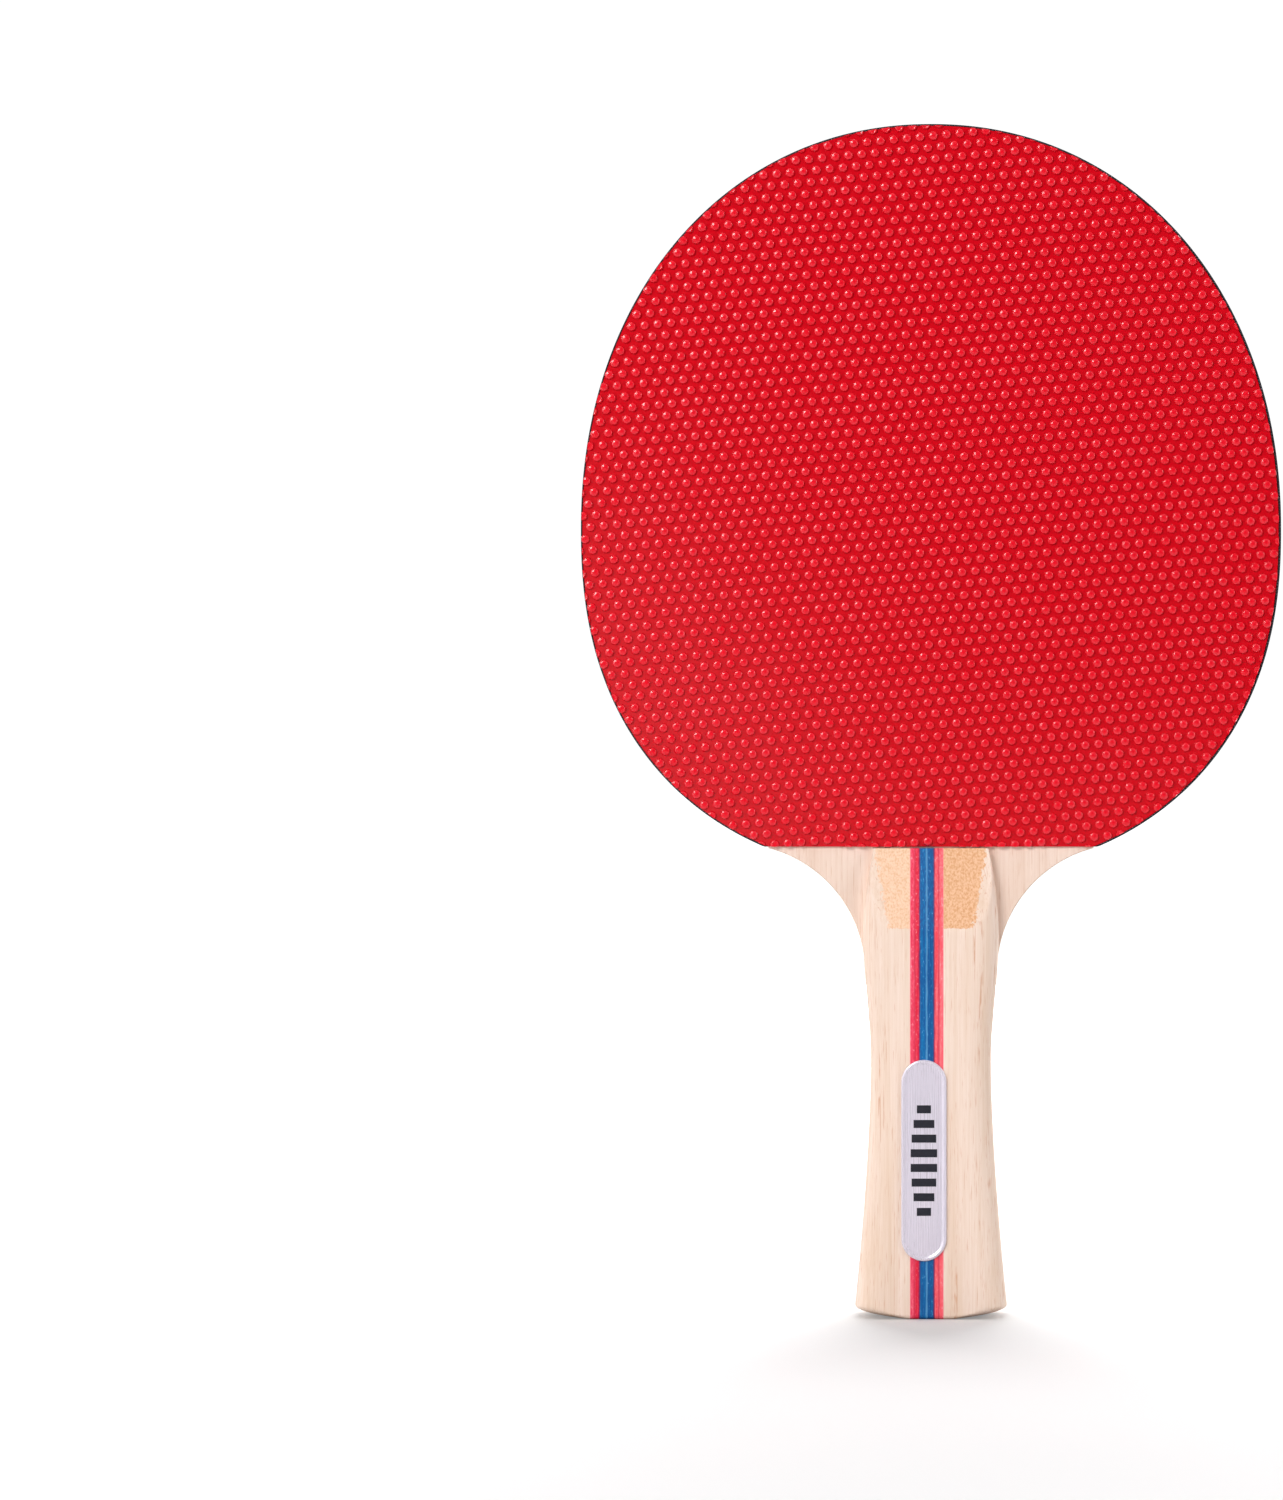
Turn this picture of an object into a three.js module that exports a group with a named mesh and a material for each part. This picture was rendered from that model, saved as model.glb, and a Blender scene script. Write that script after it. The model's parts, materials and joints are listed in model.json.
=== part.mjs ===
// Table tennis paddle. A five-ply blade carries a pimpled rubber on each face and an edge
// tape round its head. Two scales, each laminated from wooden blocks and dyed veneers,
// make the flared handle, and a badge is glued to the front one.
//
// Millimetres. The origin is the middle of the butt end, +Z runs up the handle to the tip
// of the blade, the blade's middle plane is Y = 0, and the front (red) face looks to -Y.

import * as THREE from 'three';

const INCH = 25.4;

// Overall size
const LENGTH = 10 * INCH;
const WIDTH = 5.875 * INCH;
const HANDLE_THICKNESS = 0.75 * INCH;

// Head of the blade: an upper and a lower half superellipse that share their widest line
const WIDEST_Z = 167.7;
const HEAD_DEPTH_BELOW = 73.9;
const UPPER_POWER = 2.1;
const LOWER_POWER = 2.3;
const SHOULDER_Z = 100;

// Neck: a hollow arc from the shoulder down to the side of the handle
const NECK_RADIUS = 27.4;
const NECK_CENTRE_X = 41.5;
const NECK_CENTRE_Z = 73.1;
const NECK_FOOT_Z = 76;

// Side line of the handle, as half-widths at heights
const BUTT_HALF = 16.4;
const WAIST_HALF = 12.8;
const WAIST_Z = 54;
const FLARE_POWER = 1.6;
const CREST_HALF = 14.4;
const CREST_Z = 81;
const SCALE_TOP_HALF = 12.2;
const SCALE_TOP_Z = 99.7;

// Butt end: flat in the middle, crowned up to its corners, and rounded off at both faces
const BUTT_FLAT_HALF = 5.2;
const BUTT_CROWN = 2.7;
const BUTT_CROWN_POWER = 0.7;
const BUTT_ARRIS = 1;

// Plies, from the front face to the rear one: name, thickness and finish
const PLIES = [
  ['face_ply_front', 0.6, 'faceWood'],
  ['cross_ply_front', 0.85, 'crossPly'],
  ['core_ply', 2.1, 'corePly'],
  ['cross_ply_rear', 0.85, 'crossPly'],
  ['face_ply_rear', 0.6, 'faceWood'],
];
const BLADE_THICKNESS = PLIES.reduce((sum, [, thickness]) => sum + thickness, 0);

// Rubber sheets, each a base sheet with pips moulded on it, and the tape round the edge
const RUBBER_BASE = 0.65;
const PIP_HEIGHT = 0.65;
const TAPE_THICKNESS = 0.35;

// Scales
const SCALE_THICKNESS = (HANDLE_THICKNESS - BLADE_THICKNESS) / 2;
const SCALE_TAPER = 0.45;
const SCALE_SIDE_WALL = 2;
const SCALE_EDGE_WIDTH = 6;
const BEVELS = {
  front: { lip: 2.2, length: 17 },
  rear: { lip: 3.1, length: 14.5 },
};

// Dyed stripe down the middle of each scale, from -X to +X: name, width and finish
const STRIPE_CENTRE_X = -0.9;
const RED_VENEER = 1;
const BLUE_VENEER = 1.55;
const VENEERS = [
  ['red_veneer_1', RED_VENEER, 'redVeneer'],
  ['red_veneer_2', RED_VENEER, 'redVeneer'],
  ['blue_veneer_1', BLUE_VENEER, 'blueVeneer'],
  ['blue_veneer_2', BLUE_VENEER, 'blueVeneer'],
  ['red_veneer_3', RED_VENEER, 'redVeneer'],
  ['red_veneer_4', RED_VENEER, 'redVeneer'],
];
const STRIPE_WIDTH = VENEERS.reduce((sum, [, width]) => sum + width, 0);
const STRIPE_START_X = STRIPE_CENTRE_X - STRIPE_WIDTH / 2;
const STRIPE_CLEARANCE = 0.15;
const STRIPE_REACH = Math.abs(STRIPE_START_X) + STRIPE_CLEARANCE;

// Badge
const BADGE_WIDTH = 9.6;
const BADGE_LENGTH = 42.6;
const BADGE_THICKNESS = 0.6;
const BADGE_BEVEL = 0.25;
const BADGE_CENTRE_X = -1.5;
const BADGE_CENTRE_Z = 33.7;
const GLUE_LINE = 0.05;

// Finishes: colour, roughness and metalness
const FINISHES = {
  faceWood: [0xe9cfae, 0.6, 0],
  crossPly: [0xcdb0a0, 0.7, 0],
  corePly: [0xe6d3c0, 0.7, 0],
  handleWood: [0xf0d8bc, 0.55, 0],
  redVeneer: [0xd0404c, 0.5, 0],
  blueVeneer: [0x2f5fae, 0.5, 0],
  redRubber: [0xc8101e, 0.45, 0],
  blueRubber: [0x2f86c8, 0.45, 0],
  tape: [0x141417, 0.7, 0],
  badge: [0xd7cfda, 0.3, 0.6],
};

// Steps round the curves
const UPPER_STEPS = 48;
const LOWER_STEPS = 16;
const NECK_STEPS = 16;
const SIDE_STEPS = 12;
const BUTT_STEPS = 7;
const EDGE_STEPS = 6;
const BEVEL_STEPS = 6;
const BADGE_END_STEPS = 12;

const group = new THREE.Group();

function addMesh(name, geometry, finish) {
  const [color, roughness, metalness] = FINISHES[finish];
  const material = new THREE.MeshStandardMaterial({ color, roughness, metalness });
  const mesh = new THREE.Mesh(geometry, material);
  mesh.name = name;
  group.add(mesh);
}

// A flat outline in X and Z, given thickness from yLow to yHigh
function slab(outline, yLow, yHigh) {
  const geometry = new THREE.ExtrudeGeometry(new THREE.Shape(outline), {
    depth: yHigh - yLow,
    bevelEnabled: false,
  });
  geometry.rotateX(Math.PI / 2);
  geometry.translate(0, yHigh, 0);
  return geometry;
}

function mirrored(points) {
  return points.map((point) => new THREE.Vector2(-point.x, point.y)).reverse();
}

function superellipsePoint(halfWidth, depth, power, angle) {
  return new THREE.Vector2(
    halfWidth * Math.cos(angle) ** (2 / power),
    WIDEST_Z + Math.sign(angle) * depth * Math.abs(Math.sin(angle)) ** (2 / power),
  );
}

// Right half of the head from the shoulder to the tip, pulled in by inset
function rightHead(inset) {
  const halfWidth = WIDTH / 2 - inset;
  const above = LENGTH - WIDEST_Z - inset;
  const below = HEAD_DEPTH_BELOW - inset;
  const shoulderAngle = Math.asin(((WIDEST_Z - SHOULDER_Z) / below) ** (LOWER_POWER / 2));
  const points = [];
  for (let step = 0; step < LOWER_STEPS; step += 1) {
    const angle = -shoulderAngle * (1 - step / LOWER_STEPS);
    points.push(superellipsePoint(halfWidth, below, LOWER_POWER, angle));
  }
  points[0].y = SHOULDER_Z;
  for (let step = 0; step < UPPER_STEPS / 2; step += 1) {
    const angle = (Math.PI * step) / UPPER_STEPS;
    points.push(superellipsePoint(halfWidth, above, UPPER_POWER, angle));
  }
  return points;
}

// The whole head, anticlockwise from the right shoulder over the tip to the left one
function headOutline(inset) {
  const right = rightHead(inset);
  const tip = new THREE.Vector2(0, LENGTH - inset);
  return [...right, tip, ...mirrored(right)];
}

// Half-width of the handle's side line, before the butt end's crown
function sideLine(z) {
  if (z < WAIST_Z) {
    return WAIST_HALF + (BUTT_HALF - WAIST_HALF) * ((WAIST_Z - z) / WAIST_Z) ** FLARE_POWER;
  }
  if (z < CREST_Z) {
    return WAIST_HALF + (CREST_HALF - WAIST_HALF) * THREE.MathUtils.smoothstep(z, WAIST_Z, CREST_Z);
  }
  const share = (z - CREST_Z) / (SCALE_TOP_Z - CREST_Z);
  return CREST_HALF - (CREST_HALF - SCALE_TOP_HALF) * share ** 2;
}

// How far a rounding of the butt end has opened at height z, from 0 on the end to 1 above it
function opening(z, height, power) {
  const left = Math.max(0, 1 - z / height);
  return (1 - left ** 2) ** power;
}

function handleHalfWidth(z) {
  const crown = opening(z, BUTT_CROWN, BUTT_CROWN_POWER);
  return BUTT_FLAT_HALF + (sideLine(z) - BUTT_FLAT_HALF) * crown;
}

function buttHeights() {
  const heights = [];
  for (let step = 0; step < BUTT_STEPS; step += 1) {
    heights.push(BUTT_CROWN * (1 - Math.cos((Math.PI / 2) * (step / BUTT_STEPS))));
  }
  return heights;
}

function evenHeights(from, to, steps) {
  return Array.from({ length: steps }, (_, step) => from + ((to - from) * step) / steps);
}

// Outline of a ply: the tongue inside the handle, the neck arcs and the head
function plyOutline() {
  const heights = [
    ...buttHeights(),
    ...evenHeights(BUTT_CROWN, WAIST_Z, SIDE_STEPS),
    ...evenHeights(WAIST_Z, NECK_FOOT_Z, SIDE_STEPS / 2),
  ];
  const tongue = heights.map((z) => new THREE.Vector2(handleHalfWidth(z), z));
  const shoulderX = rightHead(TAPE_THICKNESS)[0].x;
  const footAngle = Math.asin((NECK_FOOT_Z - NECK_CENTRE_Z) / NECK_RADIUS);
  const shoulderAngle = Math.acos((NECK_CENTRE_X - shoulderX) / NECK_RADIUS);
  const neck = [];
  for (let step = 0; step <= NECK_STEPS; step += 1) {
    const angle = footAngle + ((shoulderAngle - footAngle) * step) / NECK_STEPS;
    neck.push(new THREE.Vector2(
      NECK_CENTRE_X - NECK_RADIUS * Math.cos(angle),
      NECK_CENTRE_Z + NECK_RADIUS * Math.sin(angle),
    ));
  }
  const below = [...tongue, ...neck];
  return [...below, ...headOutline(TAPE_THICKNESS), ...mirrored(below)];
}

function addPlies() {
  const outline = plyOutline();
  let y = -BLADE_THICKNESS / 2;
  for (const [name, thickness, finish] of PLIES) {
    addMesh(name, slab(outline, y, y + thickness), finish);
    y += thickness;
  }
}

// The rubbers cover the head down to the shoulder, where they end in a straight cut
function addRubbers() {
  const outline = headOutline(TAPE_THICKNESS);
  const inner = BLADE_THICKNESS / 2;
  const outer = inner + RUBBER_BASE + PIP_HEIGHT;
  addMesh('rubber_front', slab(outline, -outer, -inner), 'redRubber');
  addMesh('rubber_rear', slab(outline, inner, outer), 'blueRubber');
}

// The tape is a band round the head. It covers the plies and the front rubber's base sheet.
function addEdgeTape() {
  const outline = [...headOutline(0), ...headOutline(TAPE_THICKNESS).reverse()];
  const rear = BLADE_THICKNESS / 2;
  addMesh('edge_tape', slab(outline, -(rear + RUBBER_BASE), rear), 'tape');
}

// Thickness of a scale on its flat, before its top bevel
function scaleFlat(z) {
  return SCALE_THICKNESS - (SCALE_TAPER * z) / SCALE_TOP_Z;
}

// The same, less the quarter-round arris at the butt end
function roundedFlat(z) {
  return scaleFlat(z) - BUTT_ARRIS * (1 - opening(z, BUTT_ARRIS, 0.5));
}

// Thickness of a scale along its middle line, with its top bevel
function scaleThickness(z, bevel) {
  const bevelStart = SCALE_TOP_Z - bevel.length;
  const share = Math.max(0, (z - bevelStart) / bevel.length);
  return THREE.MathUtils.lerp(roundedFlat(z), bevel.lip, share);
}

// Thickness of a scale at its rounded edge, as if it had no bevel
function edgeThickness(z, turn) {
  return SCALE_SIDE_WALL + (roundedFlat(z) - SCALE_SIDE_WALL) * Math.sin(turn);
}

// Closes a stack of convex sections, each a ring of points, into one body.
// The rings run anticlockwise seen from above, and the stack goes upwards.
function loft(sections) {
  const ring = sections[0].length;
  const positions = sections.flat().flatMap((point) => point.toArray());
  const index = [];
  for (let level = 0; level < sections.length - 1; level += 1) {
    for (let corner = 0; corner < ring; corner += 1) {
      const next = (corner + 1) % ring;
      const a = level * ring + corner;
      const b = level * ring + next;
      index.push(a, b, b + ring, a, b + ring, a + ring);
    }
  }
  const top = (sections.length - 1) * ring;
  for (let corner = 1; corner < ring - 1; corner += 1) {
    index.push(0, corner + 1, corner);
    index.push(top, top + corner, top + corner + 1);
  }
  const geometry = new THREE.BufferGeometry();
  geometry.setAttribute('position', new THREE.Float32BufferAttribute(positions, 3));
  geometry.setIndex(index);
  geometry.computeVertexNormals();
  return geometry;
}

function scaleHeights(bevel) {
  const bevelStart = SCALE_TOP_Z - bevel.length;
  return [
    ...buttHeights(),
    ...evenHeights(BUTT_CROWN, WAIST_Z, SIDE_STEPS),
    ...evenHeights(WAIST_Z, bevelStart, SIDE_STEPS / 2),
    ...evenHeights(bevelStart, SCALE_TOP_Z, BEVEL_STEPS),
    SCALE_TOP_Z,
  ];
}

// One section of a wooden block, from the stripe out to the side of the handle.
// side is 1 or -1 along X, face is 1 on the rear scale and -1 on the front one.
function blockSection(z, innerX, side, face, bevel) {
  const half = handleHalfWidth(z);
  const edge = Math.min(SCALE_EDGE_WIDTH, half - STRIPE_REACH);
  const middle = scaleThickness(z, bevel);
  const profile = [[innerX, 0], [side * half, 0]];
  for (let step = 0; step <= EDGE_STEPS; step += 1) {
    const turn = (Math.PI / 2) * (step / EDGE_STEPS);
    const x = side * (half - edge * (1 - Math.cos(turn)));
    profile.push([x, Math.min(edgeThickness(z, turn), middle)]);
  }
  profile.push([innerX, middle]);
  const ring = profile.map(([x, height]) => (
    new THREE.Vector3(x, face * (BLADE_THICKNESS / 2 + height), z)
  ));
  return side * face > 0 ? ring : ring.reverse();
}

function addBlock(name, innerX, side, face, bevel) {
  const sections = scaleHeights(bevel).map((z) => blockSection(z, innerX, side, face, bevel));
  addMesh(name, loft(sections), 'handleWood');
}

// One veneer of the stripe: a strip with flat sides and the scale's own long profile
function addVeneer(name, lowX, width, face, bevel, finish) {
  const sections = scaleHeights(bevel).map((z) => {
    const inner = face * (BLADE_THICKNESS / 2);
    const outer = face * (BLADE_THICKNESS / 2 + scaleThickness(z, bevel));
    const ring = [
      new THREE.Vector3(lowX, inner, z),
      new THREE.Vector3(lowX + width, inner, z),
      new THREE.Vector3(lowX + width, outer, z),
      new THREE.Vector3(lowX, outer, z),
    ];
    return face > 0 ? ring : ring.reverse();
  });
  addMesh(name, loft(sections), finish);
}

function addScale(label, face) {
  const bevel = BEVELS[label];
  const stripeEndX = STRIPE_START_X + STRIPE_WIDTH;
  addBlock(`${label}_wood_block_left`, STRIPE_START_X, -1, face, bevel);
  let lowX = STRIPE_START_X;
  for (const [veneer, width, finish] of VENEERS) {
    addVeneer(`${label}_${veneer}`, lowX, width, face, bevel, finish);
    lowX += width;
  }
  addBlock(`${label}_wood_block_right`, stripeEndX, 1, face, bevel);
}

// Stadium outline of the badge, pulled in by inset
function badgeOutline(inset) {
  const radius = BADGE_WIDTH / 2 - inset;
  const straight = (BADGE_LENGTH - BADGE_WIDTH) / 2;
  const points = [];
  for (const end of [1, -1]) {
    for (let step = 0; step <= BADGE_END_STEPS; step += 1) {
      const angle = (Math.PI * step) / BADGE_END_STEPS;
      points.push(new THREE.Vector2(
        BADGE_CENTRE_X + end * radius * Math.cos(angle),
        BADGE_CENTRE_Z + end * (straight + radius * Math.sin(angle)),
      ));
    }
  }
  return points;
}

// The badge is a thin plate with a bevelled rim, and it follows the scale's slight taper
function addBadge() {
  const rings = [
    [0, 0],
    [0, BADGE_THICKNESS - BADGE_BEVEL],
    [BADGE_BEVEL, BADGE_THICKNESS],
  ];
  const sections = rings.map(([inset, height]) => (
    badgeOutline(inset).map((point) => {
      const seat = BLADE_THICKNESS / 2 + scaleFlat(point.y) + GLUE_LINE;
      return new THREE.Vector3(point.x, -(seat + height), point.y);
    })
  ));
  addMesh('badge', loft(sections), 'badge');
}

addPlies();
addRubbers();
addEdgeTape();
addScale('front', -1);
addScale('rear', 1);
addBadge();

export default group;
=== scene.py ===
# Looks of the table tennis paddle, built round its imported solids.
# Metres. X runs across the blade, Z from the butt end to the tip, and -Y is the red face.

import json
import math

import bmesh
import bpy
import numpy as np
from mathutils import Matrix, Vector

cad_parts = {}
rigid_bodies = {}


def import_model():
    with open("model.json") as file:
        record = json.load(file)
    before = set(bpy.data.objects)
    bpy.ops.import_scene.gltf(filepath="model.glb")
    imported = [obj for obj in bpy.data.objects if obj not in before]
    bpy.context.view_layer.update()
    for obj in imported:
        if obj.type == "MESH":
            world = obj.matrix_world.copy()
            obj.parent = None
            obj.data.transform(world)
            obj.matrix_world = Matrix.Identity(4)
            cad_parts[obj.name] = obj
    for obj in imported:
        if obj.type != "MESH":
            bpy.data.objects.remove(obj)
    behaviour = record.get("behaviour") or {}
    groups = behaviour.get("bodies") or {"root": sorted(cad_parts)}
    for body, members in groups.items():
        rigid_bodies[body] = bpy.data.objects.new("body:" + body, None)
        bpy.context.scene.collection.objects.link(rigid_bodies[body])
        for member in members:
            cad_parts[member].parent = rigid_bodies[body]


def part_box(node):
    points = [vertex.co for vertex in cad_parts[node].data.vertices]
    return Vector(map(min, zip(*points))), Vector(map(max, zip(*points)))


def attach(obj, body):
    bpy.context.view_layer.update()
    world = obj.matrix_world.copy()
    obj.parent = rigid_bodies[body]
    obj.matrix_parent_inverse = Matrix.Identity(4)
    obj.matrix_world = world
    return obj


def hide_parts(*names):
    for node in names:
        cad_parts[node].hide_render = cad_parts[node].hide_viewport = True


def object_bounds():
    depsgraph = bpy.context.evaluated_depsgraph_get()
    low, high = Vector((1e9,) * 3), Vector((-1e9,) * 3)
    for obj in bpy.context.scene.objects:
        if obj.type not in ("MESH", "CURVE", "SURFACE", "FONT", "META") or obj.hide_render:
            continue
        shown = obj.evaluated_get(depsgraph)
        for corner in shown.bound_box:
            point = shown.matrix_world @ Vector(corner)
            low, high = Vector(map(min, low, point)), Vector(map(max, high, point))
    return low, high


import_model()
cad_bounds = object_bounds()

MM = 0.001

# ---------------------------------------------------------------- sizes

# Places that the frame gives
TAPE_LOW, TAPE_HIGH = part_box("edge_tape")
PLY_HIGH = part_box("core_ply")[1]
BLADE_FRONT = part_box("face_ply_front")[0].y
BLADE_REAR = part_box("face_ply_rear")[1].y
BADGE_LOW, BADGE_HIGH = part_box("badge")
SCALE_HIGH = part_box("rear_wood_block_right")[1]

HEAD_TOP = TAPE_HIGH.z
HEAD_HALF_WIDTH = TAPE_HIGH.x
SHOULDER_Z = TAPE_LOW.z
TAPE_THICKNESS = TAPE_HIGH.x - PLY_HIGH.x
SCALE_TOP_Z = SCALE_HIGH.z
SCALE_THICKNESS = SCALE_HIGH.y - BLADE_REAR

# The outline's own dimensions, as in the solids
WIDEST_Z = 167.7 * MM
HEAD_DEPTH_BELOW = 73.9 * MM
UPPER_POWER = 2.1
LOWER_POWER = 2.3
NECK_RADIUS = 27.4 * MM
NECK_CENTRE_X = 41.5 * MM
NECK_CENTRE_Z = 73.1 * MM
NECK_FOOT_Z = 76 * MM
BUTT_HALF = 16.4 * MM
WAIST_HALF = 12.8 * MM
WAIST_Z = 54 * MM
FLARE_POWER = 1.6
CREST_HALF = 14.4 * MM
CREST_Z = 81 * MM
SCALE_TOP_HALF = 12.2 * MM
BUTT_FLAT_HALF = 5.2 * MM
BUTT_CROWN = 2.7 * MM
BUTT_CROWN_POWER = 0.7
BUTT_ARRIS = 1 * MM
SCALE_TAPER = 0.45 * MM
SCALE_SIDE_WALL = 2 * MM
SCALE_EDGE_WIDTH = 6 * MM
SCALE_TOP_ARRIS = 0.15 * MM
STRIPE_CLEARANCE = 0.15 * MM
SEAM_WIDTH = 0.28 * MM
SANDED_TOP_HALF = 12.1 * MM
SANDED_LOW_HALF = 9.3 * MM
SANDED_FOOT_SHARPNESS = 5
OUTSIDE_SANDING = -5.0
BEVELS = {
    "front": {"lip": 2.2 * MM, "length": 17 * MM},
    "rear": {"lip": 3.1 * MM, "length": 14.5 * MM},
}

# How finely the outlines are divided. Above the butt's rounding the heights are evenly spaced.
HEAD_POINTS = 520
TAPE_POINTS = 700
CURVE_SAMPLES = 400
NECK_POINTS = 48
EVEN_HEIGHTS_FROM = 3.5 * MM
PLY_HEIGHT_STEP = 1.5 * MM
SCALE_HEIGHT_STEP = 1.1 * MM
BEVEL_HEIGHTS = 30
BEVEL_GAP = 0.3 * MM

# Pips of the rubbers
RUBBER_BASE = 0.65 * MM
PIP_PITCH = 2.83 * MM
PIP_ROW_TILT = math.radians(5.5)
PIP_SIDES = 12
PIP_SUNK = 0.06 * MM
# Radius and share of the pip's height, from the foot to the rim of its slightly hollow top,
# and how much each ring belongs to the rim. The share and the rim also set the rubber's
# painted light on the pip tops and its pale rims, partly wear and partly a painted highlight.
PIP_PROFILE = ((1.03 * MM, 0), (0.92 * MM, 0.74), (0.7 * MM, 1))
PIP_RIM = (0, 0.5, 1)
PIP_HOLLOW = 0.8
PIP_LEAST_SHOWN = 0.35 * MM
RUBBER_ARRIS = 0.12 * MM
# How far both rubbers lie towards -X, so that the tape shows more on the right
RUBBER_LEAN = 0.18 * MM

# Prints: plain bars and squares along the tape, and bars on the badge
PRINT_LIFT = 0.03 * MM
PRINT_SUNK = 0.1 * MM
TAPE_MARK_STATIONS = 9
# Millimetres, as the tape's own coordinates are
TWILL_PITCH = 0.62
TAPE_MARK_PITCH = 27 * MM
TAPE_MARK_WIDTH = 2.2 * MM
TAPE_MARK_BARS = ((0, 8.4 * MM), (9.6 * MM, 11.8 * MM), (13 * MM, 15.2 * MM))
BADGE_BARS = tuple(length * MM for length in (1.5, 2.2, 2.6, 2.8, 2.8, 2.6, 2.2, 1.5))
BADGE_BAR_PITCH = 3.1 * MM
BADGE_BAR_HALF_WIDTH = 0.85 * MM

# Inset and height of each ring of the badge, from its back edge over the rounded lip
BADGE_PROFILE = (
    (0, 0),
    (0, 0.30 * MM),
    (0.07 * MM, 0.45 * MM),
    (0.22 * MM, 0.54 * MM),
    (0.42 * MM, 0.56 * MM),
    (0.62 * MM, 0.52 * MM),
    (0.92 * MM, 0.34 * MM),
    (1.02 * MM, 0.31 * MM),
    (1.4 * MM, 0.33 * MM),
    (2.4 * MM, 0.37 * MM),
)
BADGE_GLUE = 0.05 * MM

# Camera and studio. The view's height is what the frame takes in at the paddle.
CAMERA_DISTANCE = 1.0
VIEW_HEIGHT = 320.6 * MM
EYE_HEIGHT = 120.6 * MM
CAMERA_SHIFT = -0.193
SENSOR_WIDTH = 36
STUDIO_AHEAD = 0.025
STUDIO_BESIDE = 0.46
STUDIO_SEEN = 1.05
FLOOR_GLOW_NEAR = 0.23
FLOOR_GLOW_FAR = 0.97
FLOOR_GLOW_REACH = 1.1
FLOOR_HALF_SIZE = 12.0
# Softboxes of one face: name, place for a face towards +Y, diameter and watts
SOFTBOXES = (
    ("key", (0.6, 1.15, 0.75), 0.55, 11.4),
    ("low", (0.9, 0.8, 0.16), 0.7, 3.6),
    ("haze", (0.2, 1.05, 0.08), 0.3, 0.11),
    ("fill", (-1.0, 0.6, 0.45), 0.6, 4.3),
)


# ---------------------------------------------------------------- outlines, as (x, z) points

def superellipse(half_width, depth, power, angles):
    x = half_width * np.cos(angles) ** (2 / power)
    z = WIDEST_Z + np.sign(angles) * depth * np.abs(np.sin(angles)) ** (2 / power)
    return np.column_stack([x, z])


def resampled(points, count):
    """The same line with count evenly spaced points."""
    steps = np.linalg.norm(np.diff(points, axis=0), axis=1)
    along = np.concatenate([[0], np.cumsum(steps)])
    even = np.linspace(0, along[-1], count)
    return np.column_stack([np.interp(even, along, points[:, k]) for k in (0, 1)])


def mirrored(points):
    return (points * [-1, 1])[::-1]


def head_outline(inset, count=HEAD_POINTS):
    """The head from its right shoulder over the tip to the left one."""
    half_width = HEAD_HALF_WIDTH - inset
    above = HEAD_TOP - WIDEST_Z - inset
    below = HEAD_DEPTH_BELOW - inset
    shoulder = math.asin(((WIDEST_Z - SHOULDER_Z) / below) ** (LOWER_POWER / 2))
    low_turn = np.linspace(-shoulder, 0, CURVE_SAMPLES)[:-1]
    high_turn = np.linspace(0, math.pi / 2, CURVE_SAMPLES)
    lower = superellipse(half_width, below, LOWER_POWER, low_turn)
    upper = superellipse(half_width, above, UPPER_POWER, high_turn)
    right = np.vstack([lower, upper])
    return resampled(np.vstack([right, mirrored(right)[1:]]), count)


def side_line(z):
    """Half-width of the handle's side line, before the butt end's crown."""
    below = np.clip((WAIST_Z - z) / WAIST_Z, 0, 1)
    middle = np.clip((z - WAIST_Z) / (CREST_Z - WAIST_Z), 0, 1)
    above = np.clip((z - CREST_Z) / (SCALE_TOP_Z - CREST_Z), 0, 1)
    flare = (BUTT_HALF - WAIST_HALF) * below ** FLARE_POWER
    swell = (CREST_HALF - WAIST_HALF) * middle ** 2 * (3 - 2 * middle)
    return WAIST_HALF + flare + swell - (CREST_HALF - SCALE_TOP_HALF) * above ** 2


def opening(z, height, power):
    """How far a rounding of the butt end has opened, from 0 on the end to 1 above it."""
    return (1 - np.clip(1 - z / height, 0, 1) ** 2) ** power


def handle_half_width(z):
    crown = opening(z, BUTT_CROWN, BUTT_CROWN_POWER)
    return BUTT_FLAT_HALF + (side_line(z) - BUTT_FLAT_HALF) * crown


def butt_heights(steps=16):
    return BUTT_CROWN * (1 - np.cos(np.linspace(0, math.pi / 2, steps)))


def ply_outline():
    """A ply from the middle of its right foot round the head to its left foot."""
    even = np.arange(EVEN_HEIGHTS_FROM, NECK_FOOT_Z, PLY_HEIGHT_STEP)
    z = np.concatenate([butt_heights(), even])
    tongue = np.column_stack([handle_half_width(z), z])
    head = head_outline(TAPE_THICKNESS)
    foot = math.asin((NECK_FOOT_Z - NECK_CENTRE_Z) / NECK_RADIUS)
    shoulder = math.acos((NECK_CENTRE_X - head[0, 0]) / NECK_RADIUS)
    turn = np.linspace(foot, shoulder, NECK_POINTS)
    neck = np.column_stack([
        NECK_CENTRE_X - NECK_RADIUS * np.cos(turn),
        NECK_CENTRE_Z + NECK_RADIUS * np.sin(turn),
    ])
    below = np.vstack([tongue, neck])
    return np.vstack([below, head, mirrored(below)])


def outward(points, closed=True):
    """Unit normals of a line that runs anticlockwise."""
    if closed:
        step = np.roll(points, -1, axis=0) - np.roll(points, 1, axis=0)
    else:
        step = np.gradient(points, axis=0)
    normals = np.column_stack([step[:, 1], -step[:, 0]])
    return normals / np.linalg.norm(normals, axis=1, keepdims=True)


# ---------------------------------------------------------------- meshes

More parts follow.
